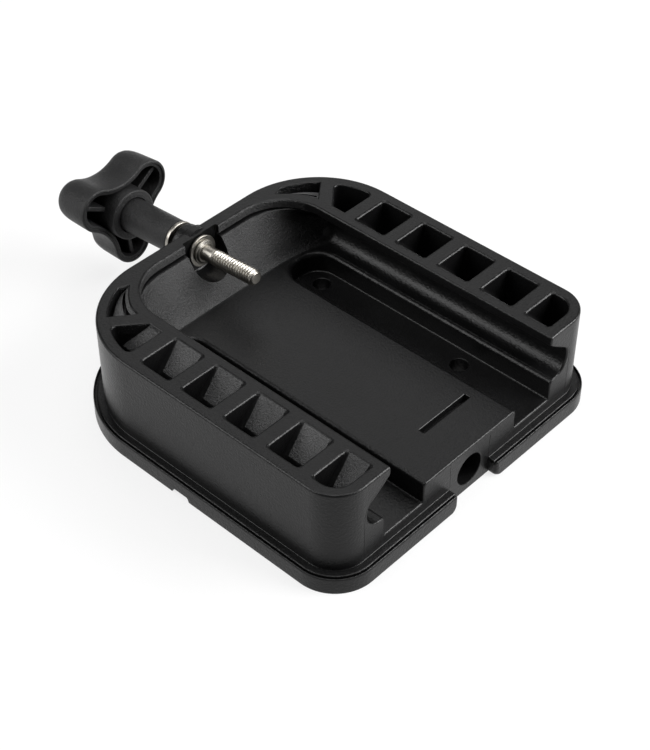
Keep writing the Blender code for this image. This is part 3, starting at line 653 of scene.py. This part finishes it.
def mark_eroded(housing, arch, slopes):
    """Give the tray's back arch and the pockets' inner slopes their coarser grain."""
    housing.data.materials.append(arch)
    housing.data.materials.append(slopes)
    for face in housing.data.polygons:
        x, y, z = [c / MM for c in face.center]
        n = face.normal
        in_tray = abs(x) < 52.6 and 30.0 < y < 61.9 and PAD_Z + 0.15 < z < HEIGHT - 0.3
        behind = y > CHANNEL_REAR_Y + 1.3 or z > 30.0
        in_recess = abs(x) < RECESS_HALF_WIDTH + 0.1 and y > 60.0
        wall = in_tray and behind and not in_recess and n.y < -0.3 and abs(n.z) < 0.97
        in_pocket = POCKET_IN + 0.3 < abs(x) < 60.0 and z > 31.0
        slope = in_pocket and 0.6 < n.z < 0.8 and abs(n.y) < 0.12 and n.x * x > 0
        sliver = y > 44.0 and 0.6 < n.z < 0.98 and 36.0 < z < HEIGHT - 0.5 and abs(x) > 30.0
        if wall:
            face.material_index = 1
        elif slope or sliver:
            face.material_index = 2


def ring_profile(inner, outer, low, high, edge):
    """Closed profile of a washer with rounded outer edges."""
    profile = [(inner, high), (outer - edge, high)]
    profile += arc(outer - edge, high - edge, edge, 90, 0, 4)[1:]
    profile += arc(outer - edge, low + edge, edge, 0, -90, 4)
    profile += [(inner + edge / 2, low), (inner, low + edge / 2)]
    return profile


def make_thread(name):
    """Screw with a true helical thread, a chamfered point, a plain shank and a hex head."""
    start = SCREW_TIP_S
    stop = THREAD_END_S
    turns = []
    for i in range(THREAD_AROUND):
        turns.append((i / THREAD_AROUND, 2 * math.pi * i / THREAD_AROUND))
    point_r = THREAD_ROOT_R - TIP_STEP
    rings = [[((point_r - TIP_STEP) * math.cos(angle), (point_r - TIP_STEP) * math.sin(angle), start - 0.02)
              for turn, angle in turns]]
    count = THREAD_TURNS * RINGS_PER_TURN
    for k in range(count + 1):
        z = start + (stop - start) * k / count
        ring = []
        for turn, angle in turns:
            phase = ((z - start) / THREAD_PITCH - turn) % 1.0
            ramp = abs(2 * phase - 1)
            shape = min(1.0, max(0.0, (ramp - 0.1) / 0.72))
            radius = THREAD_ROOT_R + (THREAD_R - THREAD_ROOT_R) * shape
            radius = min(radius, point_r + (z - start) * 0.9)
            run_out = max(0.0, 1.0 - (stop - z) / 1.6)
            radius += (SHANK_R - radius) * run_out
            ring.append((radius * math.cos(angle), radius * math.sin(angle), z))
        rings.append(ring)
    for z in (stop + 0.5, 45.9):
        rings.append([(SHANK_R * math.cos(angle), SHANK_R * math.sin(angle), z) for turn, angle in turns])
    screw = loft(name, rings)
    hexagon = arc(0.0, 0.0, HEX_FLATS / 2 / math.cos(math.radians(30)), 0, 300, 5)
    head = [at_height(offset_ring(hexagon, -0.3), 45.8), at_height(hexagon, 46.1)]
    head += [at_height(hexagon, 50.1), at_height(offset_ring(hexagon, -0.4), 50.5)]
    boolean(screw, loft("head", head), "UNION")
    return on_screw(screw)


def lobed_outline(inset):
    """Three-lobed plan of the knob from tangent arcs; inset moves it inwards."""
    step = 360 / LOBE_COUNT
    span = LOBE_R + VALLEY_R
    half = LOBE_CENTRE * math.cos(math.radians(step / 2))
    far = half + math.sqrt(half ** 2 - LOBE_CENTRE ** 2 + span ** 2)
    points = []
    for k in range(LOBE_COUNT):
        lobe_deg = KNOB_TURN_DEG + step * k
        valley_deg = lobe_deg + step / 2
        lobe_angle = math.radians(lobe_deg)
        valley_angle = math.radians(valley_deg)
        lobe = Vector((math.cos(lobe_angle), math.sin(lobe_angle))) * LOBE_CENTRE
        valley = Vector((math.cos(valley_angle), math.sin(valley_angle))) * far
        between = valley - lobe
        towards = math.degrees(math.atan2(between.y, between.x))
        sweep = (towards - lobe_deg) % 360
        points += arc(lobe.x, lobe.y, LOBE_R - inset, lobe_deg - sweep, lobe_deg + sweep, 28)
        start = towards + 180
        end = start - 2 * ((start - valley_deg - 180) % 360)
        points += arc(valley.x, valley.y, VALLEY_R + inset, start, end, 12)[1:-1]
    return points


def make_knob(mat):
    """Three-lobed knob with a rounded back, hollow towards the housing, with hub and ribs inside."""
    rim = KNOB_RIM_S
    outer = [(rim, 0.75), (rim + 0.08, 0.4), (rim + 0.3, 0.12), (rim + 0.7, 0.0), (45.4, 0.18)]
    outer += [(50.5, 0.4), (52.6, 0.6), (54.3, 0.9), (55.5, 1.3), (56.4, 1.85), (57.1, 2.45)]
    outer += [(57.7, 3.2), (58.1, 4.2), (58.4, 5.6), (58.6, 7.2)]
    knob = loft("knob_moulding", [at_height(lobed_outline(inset), s) for s, inset in outer])
    dome = [(7.6, 57.0), (7.6, 58.6), (7.3, 59.0), (6.6, 59.4), (5.5, 59.8), (4.0, 60.1)]
    dome += [(2.5, 60.25), (1.0, 60.3)]
    boolean(knob, loft("dome", turned_rings(dome, 72)), "UNION")
    bm = bmesh.new()
    wall = KNOB_WALL
    hollow = [(rim - 1.0, 1.0), (rim + 0.1, 1.05), (rim + 0.6, 1.35), (rim + 0.7, 1.5)]
    hollow += [(rim + 0.7, wall - 0.35), (rim + 0.8, wall - 0.1), (rim + 1.1, wall)]
    hollow += [(52.6, wall + 0.5), (53.6, wall + 0.9), (54.0, wall + 2.0)]
    skin(bm, [at_height(lobed_outline(inset), s) for s, inset in hollow])
    boolean(knob, to_object("hollow", bm))
    hub = [(HUB_R + 0.5, 55.0), (HUB_R + 0.2, 50.0), (HUB_R, HUB_FACE_S + 0.6)]
    hub += [(HUB_R - 0.08, HUB_FACE_S + 0.3), (HUB_R - 0.3, HUB_FACE_S + 0.08)]
    hub += [(HUB_R - 0.6, HUB_FACE_S), (1.0, HUB_FACE_S)]
    boolean(knob, loft("hub", turned_rings(hub, 72)), "UNION")
    bm = bmesh.new()
    for k in range(LOBE_COUNT):
        angle = math.radians(KNOB_TURN_DEG + 360 * k / LOBE_COUNT)
        turn = Matrix.Rotation(angle, 4, "Z")
        top = rim + 2.2
        rings = []
        for x in (HUB_R - 2.0, LOBE_CENTRE + LOBE_R - 1.6):
            section = [(-1.1, 55.0), (-0.9, top + 0.3), (-0.6, top)]
            section += [(0.6, top), (0.9, top + 0.3), (1.1, 55.0)]
            rings.append([tuple(turn @ Vector((x, y, s))) for y, s in section])
        skin(bm, rings)
    boolean(knob, to_object("ribs", bm), "UNION")
    seat_r = SLEEVE_R + GAP
    seat = [(SLEEVE_R + 1.0, HUB_FACE_S - 0.7), (seat_r, HUB_FACE_S + 0.25), (seat_r, HUB_FACE_S + 1.8)]
    boolean(knob, loft("seat", turned_rings(seat, 72)))
    bore = [(SHANK_R + GAP, HUB_FACE_S), (SHANK_R + GAP, 46.5)]
    boolean(knob, loft("shaft_hole", turned_rings(bore, 40)))
    hexagon = arc(0.0, 0.0, (HEX_FLATS + 2 * GAP) / 2 / math.cos(math.radians(30)), 0, 300, 5)
    boolean(knob, loft("head_pocket", [at_height(hexagon, 46.2), at_height(hexagon, 50.8)]))
    on_screw(knob)
    return finish_mesh(knob, mat)


def make_sleeve(mat):
    low = OUTER_WASHER_S + OUTER_WASHER_THICK + GAP
    high = HUB_FACE_S + 1.5
    inner = SHANK_R + GAP
    r = SLEEVE_R
    profile = [(inner, high), (r - 0.3, high), (r, high - 0.3), (r, 20.0), (r - 0.05, low + 0.8)]
    profile += [(r - 0.15, low + 0.35), (r - 0.4, low + 0.08), (r - 0.7, low)]
    profile += [(inner + 0.3, low), (inner, low + 0.3)]
    return finish_mesh(on_screw(annulus("sleeve_moulding", profile, 72)), mat)


def make_washers(mat):
    inner = SHANK_R + GAP
    low = INNER_WASHER_S - INNER_WASHER_THICK
    profile = ring_profile(inner, INNER_WASHER_R, low, INNER_WASHER_S, 0.22)
    first = annulus("inner_washer_turned", profile, 72)
    high = OUTER_WASHER_S + OUTER_WASHER_THICK
    profile = ring_profile(inner, OUTER_WASHER_R, OUTER_WASHER_S, high, 0.3)
    second = annulus("outer_washer_turned", profile, 72)
    return finish_mesh(on_screw(first), mat), finish_mesh(on_screw(second), mat)


def make_retainer(mat):
    front = INNER_WASHER_S - INNER_WASHER_THICK - GAP
    hole = SHANK_R + 0.12
    rim = RETAINER_R
    profile = [(hole, front - 1.45), (hole + 0.35, front - 1.5), (hole + 0.75, front - 1.35)]
    profile += [(rim - 0.45, front - 0.72), (rim - 0.1, front - 0.6), (rim, front - 0.45)]
    profile += [(rim, front), (rim - 0.8, front), (hole, front - 1.0)]
    cap = annulus("retainer_pressing", profile, 60)
    return finish_mesh(on_screw(cap), mat)


# ---------------------------------------------------------------- materials
class Nodes:
    """Short way to build a node tree."""

    def __init__(self, name):
        self.mat = bpy.data.materials.new(name)
        self.mat.use_nodes = True
        self.tree = self.mat.node_tree
        self.shader = self.tree.nodes["Principled BSDF"]
        self.coords = self.tree.nodes.new("ShaderNodeTexCoord").outputs["Object"]

    def add(self, kind, **inputs):
        node = self.tree.nodes.new(kind)
        for key, value in inputs.items():
            socket = node.inputs[key.replace("_", " ")]
            if isinstance(value, bpy.types.NodeSocket):
                self.tree.links.new(value, socket)
            else:
                socket.default_value = value
        return node

    def noise(self, scale, detail=2.0, roughness=0.5):
        node = self.add("ShaderNodeTexNoise", Vector=self.coords, Scale=scale, Detail=detail,
                        Roughness=roughness)
        return node.outputs["Fac"]

    def ramp(self, value, low, high, out_low, out_high):
        node = self.tree.nodes.new("ShaderNodeMapRange")
        self.tree.links.new(value, node.inputs["Value"])
        keys = ("From Min", "From Max", "To Min", "To Max")
        for key, number in zip(keys, (low, high, out_low, out_high)):
            node.inputs[key].default_value = number
        return node.outputs["Result"]

    def link(self, value, name):
        self.tree.links.new(value, self.shader.inputs[name])

    def bump(self, height, strength, distance):
        node = self.add("ShaderNodeBump", Height=height, Strength=strength, Distance=distance)
        return node.outputs["Normal"]


def nylon(name, colour, roughness, grain, grain_depth, uneven=0.04, side_gloss_and_painted_shade=False):
    """Moulded black nylon: grain from the mould, faint flow marks and uneven gloss.

    Asked to, it gets as smooth as the housing's outside towards the two sides, and there its colour darkens
    to the housing's black as painted shade of the corners that turn away from the light.
    """
    n = Nodes(name)
    fine = n.noise(grain, 3.0, 0.6)
    broad = n.noise(45.0, 3.0, 0.55)
    tone = n.add("ShaderNodeMix", Factor=n.ramp(broad, 0.3, 0.7, 0.0, 1.0))
    tone.data_type = "RGBA"
    tone.inputs[6].default_value = (*[c * 0.7 for c in colour], 1.0)
    tone.inputs[7].default_value = (*[c * 1.3 for c in colour], 1.0)
    shade = tone.outputs[2]
    gloss = n.ramp(broad, 0.25, 0.75, roughness - uneven, roughness + uneven)
    if side_gloss_and_painted_shade:
        sideways = n.add("ShaderNodeSeparateXYZ", Vector=n.coords).outputs["X"]
        distance = n.tree.nodes.new("ShaderNodeMath")
        distance.operation = "ABSOLUTE"
        n.tree.links.new(sideways, distance.inputs[0])
        share = n.ramp(distance.outputs[0], GLOSS_AND_SHADE_FROM * MM, GLOSS_AND_SHADE_TO * MM, 0.0, 1.0)
        # painted shade: the colour darkens towards the sides, where the back wall's corners turn away from
        # the light
        painted_side_shade = n.add("ShaderNodeMix", Factor=share)
        painted_side_shade.data_type = "RGBA"
        n.tree.links.new(shade, painted_side_shade.inputs[6])
        painted_side_shade.inputs[7].default_value = (*HOUSING_BLACK, 1.0)
        shade = painted_side_shade.outputs[2]
        smoothed = n.add("ShaderNodeMix", Factor=share)
        n.tree.links.new(gloss, smoothed.inputs[2])
        smoothed.inputs[3].default_value = HOUSING_ROUGHNESS
        gloss = smoothed.outputs[0]
    n.link(shade, "Base Color")
    n.link(gloss, "Roughness")
    n.link(n.bump(fine, 0.6, grain_depth), "Normal")
    n.shader.inputs["IOR"].default_value = 1.3
    return n.mat


def steel(name, roughness=0.34):
    """Bright stainless steel with fine turning marks and slight staining."""
    n = Nodes(name)
    fine = n.noise(2600.0, 2.0)
    broad = n.noise(260.0, 3.0)
    tone = n.add("ShaderNodeMix", Factor=n.ramp(broad, 0.3, 0.7, 0.0, 1.0))
    tone.data_type = "RGBA"
    tone.inputs[6].default_value = STEEL_DARK
    tone.inputs[7].default_value = STEEL_LIGHT
    n.link(tone.outputs[2], "Base Color")
    n.shader.inputs["Metallic"].default_value = 1.0
    n.link(n.ramp(broad, 0.25, 0.75, roughness - 0.06, roughness + 0.08), "Roughness")
    n.link(n.bump(fine, 0.25, 0.00003), "Normal")
    return n.mat


def floor_material():
    """White translucent sheet, lit from below as well as from above."""
    n = Nodes("studio_sheet")
    n.link(n.ramp(n.noise(6.0), 0.3, 0.7, 0.88, 0.9), "Roughness")
    n.shader.inputs["Base Color"].default_value = (0.12, 0.12, 0.12, 1.0)
    n.shader.inputs["Emission Color"].default_value = (1.0, 1.0, 1.0, 1.0)
    n.shader.inputs["Emission Strength"].default_value = 0.77
    return n.mat


# ---------------------------------------------------------------- studio
def make_floor():
    bm = bmesh.new()
    bmesh.ops.create_grid(bm, x_segments=1, y_segments=1, size=FLOOR_HALF_SIZE)
    floor = to_object("floor", bm)
    floor.data.materials.append(floor_material())
    return floor


def view_axes(azimuth_deg, elevation_deg):
    """Right, up and back directions of a camera that looks at the object."""
    az = math.radians(azimuth_deg)
    el = math.radians(elevation_deg)
    back = Vector((math.sin(az) * math.cos(el), -math.cos(az) * math.cos(el), math.sin(el)))
    right = Vector((math.cos(az), math.sin(az), 0.0))
    return right, back.cross(right), back


def make_camera():
    right, up, back = view_axes(CAMERA_AZIMUTH_DEG, CAMERA_ELEVATION_DEG)
    target = Vector(CAMERA_TARGET) * MM
    data = bpy.data.cameras.new("camera")
    data.lens = CAMERA_LENS
    data.sensor_width = 36.0
    data.clip_start = 0.01
    camera = bpy.data.objects.new("camera", data)
    turn = Matrix((right, up, back)).transposed().to_4x4()
    camera.matrix_world = Matrix.Translation(target + back * CAMERA_DISTANCE * MM) @ turn
    bpy.context.scene.collection.objects.link(camera)
    bpy.context.scene.camera = camera


def area_light(name, azimuth_deg, elevation_deg, distance, size, power):
    """Soft box that faces the object."""
    right, up, back = view_axes(azimuth_deg, elevation_deg)
    data = bpy.data.lights.new(name, "AREA")
    data.shape = "RECTANGLE"
    data.size = size
    data.size_y = size
    data.energy = power
    lamp = bpy.data.objects.new(name, data)
    turn = Matrix((right, up, back)).transposed().to_4x4()
    lamp.matrix_world = Matrix.Translation(Vector((0, 0, 0.02)) + back * distance) @ turn
    bpy.context.scene.collection.objects.link(lamp)


def make_world():
    """Surroundings that are bright at the horizon and dim above it."""
    world = bpy.data.worlds.new("studio")
    world.use_nodes = True
    tree = world.node_tree
    coords = tree.nodes.new("ShaderNodeTexCoord")
    parts = tree.nodes.new("ShaderNodeSeparateXYZ")
    ramp = tree.nodes.new("ShaderNodeMapRange")
    background = tree.nodes["Background"]
    background.inputs["Color"].default_value = (1.0, 1.0, 1.0, 1.0)
    for key, value in (("From Min", 0.02), ("From Max", 0.14), ("To Min", 0.9), ("To Max", 0.06)):
        ramp.inputs[key].default_value = value
    tree.links.new(coords.outputs["Generated"], parts.inputs["Vector"])
    tree.links.new(parts.outputs["Z"], ramp.inputs["Value"])
    tree.links.new(ramp.outputs["Result"], background.inputs["Strength"])
    bpy.context.scene.world = world


def make_studio():
    make_world()
    bpy.context.scene.view_settings.view_transform = "Standard"
    for light in LIGHTS:
        area_light(*light)


# ---------------------------------------------------------------- assembly
def place(piece, body, node):
    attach(piece, body)
    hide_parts(node)
    return piece


def build():
    black = nylon("housing_nylon", HOUSING_BLACK, HOUSING_ROUGHNESS, 1100.0, 0.0003)
    # the back arch's colour darkens towards the sides as painted shade; its gloss also turns smoother there
    arch = nylon("arch_nylon", ARCH_BLACK, 0.43, 1300.0, 0.0016, side_gloss_and_painted_shade=True)
    slopes = nylon("eroded_nylon", SLOPE_BLACK, 0.46, 1300.0, 0.0016)
    knob_black = nylon("knob_nylon", KNOB_BLACK, 0.4, 1500.0, 0.0006)
    bright = steel("stainless_steel")
    housing = make_housing(black)
    mark_eroded(housing, arch, slopes)
    place(housing, "housing", "base_housing")
    place(make_knob(knob_black), "clamp", "clamp_knob")
    place(make_sleeve(knob_black), "clamp", "spacer_sleeve")
    screw = make_thread("screw_turned")
    place(finish_mesh(screw, bright, 80.0), "clamp", "clamp_screw")
    inner, outer = make_washers(bright)
    place(inner, "washers", "inner_washer")
    place(outer, "washers", "outer_washer")
    place(make_retainer(bright), "clamp", "push_on_retainer")
    make_floor()
    make_camera()
    make_studio()


build()
